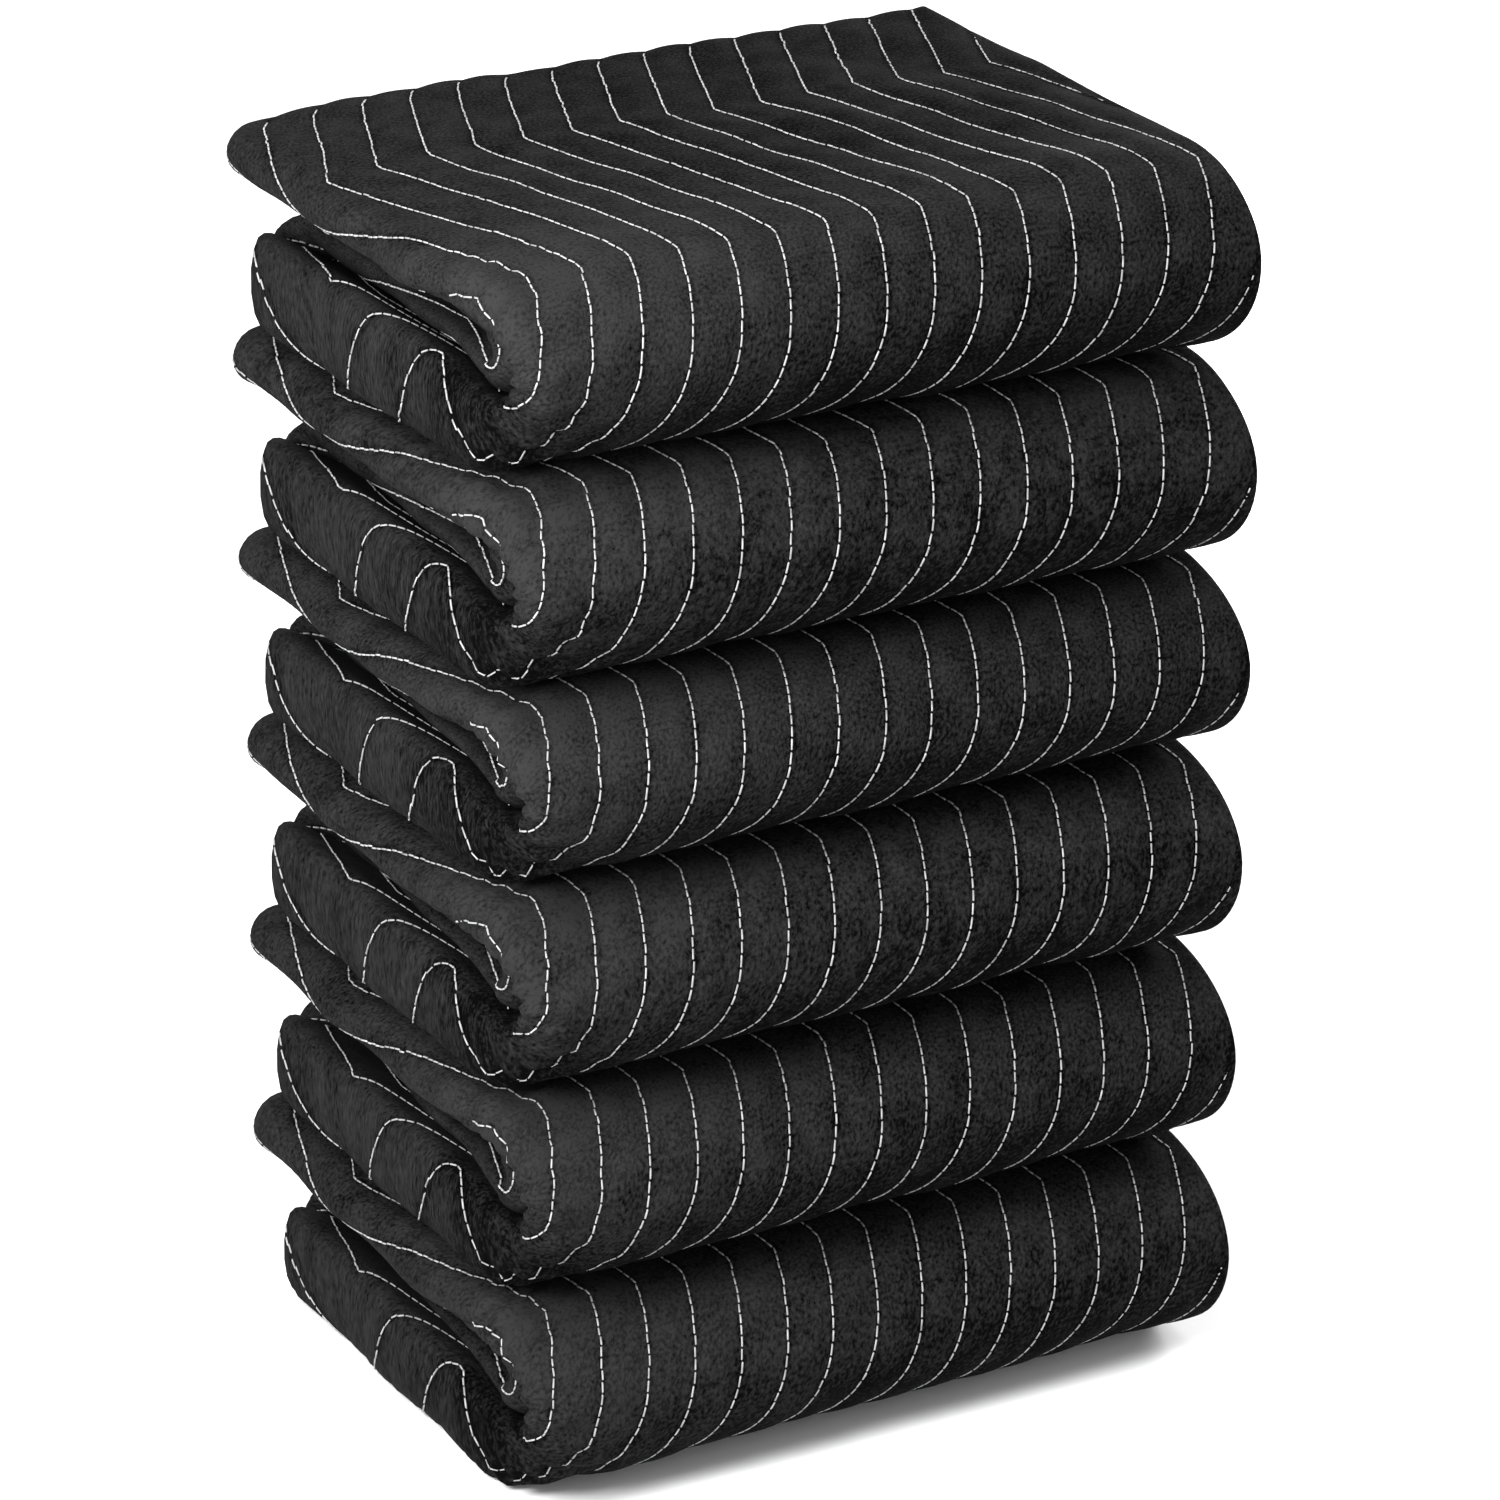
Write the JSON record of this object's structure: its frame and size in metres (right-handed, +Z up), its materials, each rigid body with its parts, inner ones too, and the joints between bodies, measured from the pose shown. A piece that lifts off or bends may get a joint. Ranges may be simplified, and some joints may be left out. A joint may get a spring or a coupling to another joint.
{
  "type": "stack of folded moving blankets",
  "caption": "Stack of thick quilted moving blankets, each folded into a pad with a round front fold, resting flat on the lowest one.",
  "frame": {"origin": "middle of the stack's footprint, on the surface it rests on", "axes": "+Z up through the stack, -Y towards the big round folds, -X towards the folded edges of the panels"},
  "size_m": [0.519, 0.4138, 0.8075],
  "materials": {
    "black_quilted_cloth": "matte brushed quilted cloth",
    "grey_thread": "pale grey sewing thread"
  },
  "bodies": {
    "root": {"blanket_1": "black_quilted_cloth", "blanket_2": "black_quilted_cloth", "blanket_3": "black_quilted_cloth", "blanket_4": "black_quilted_cloth", "blanket_5": "black_quilted_cloth", "blanket_6": "black_quilted_cloth"}
  },
  "joints": []
}
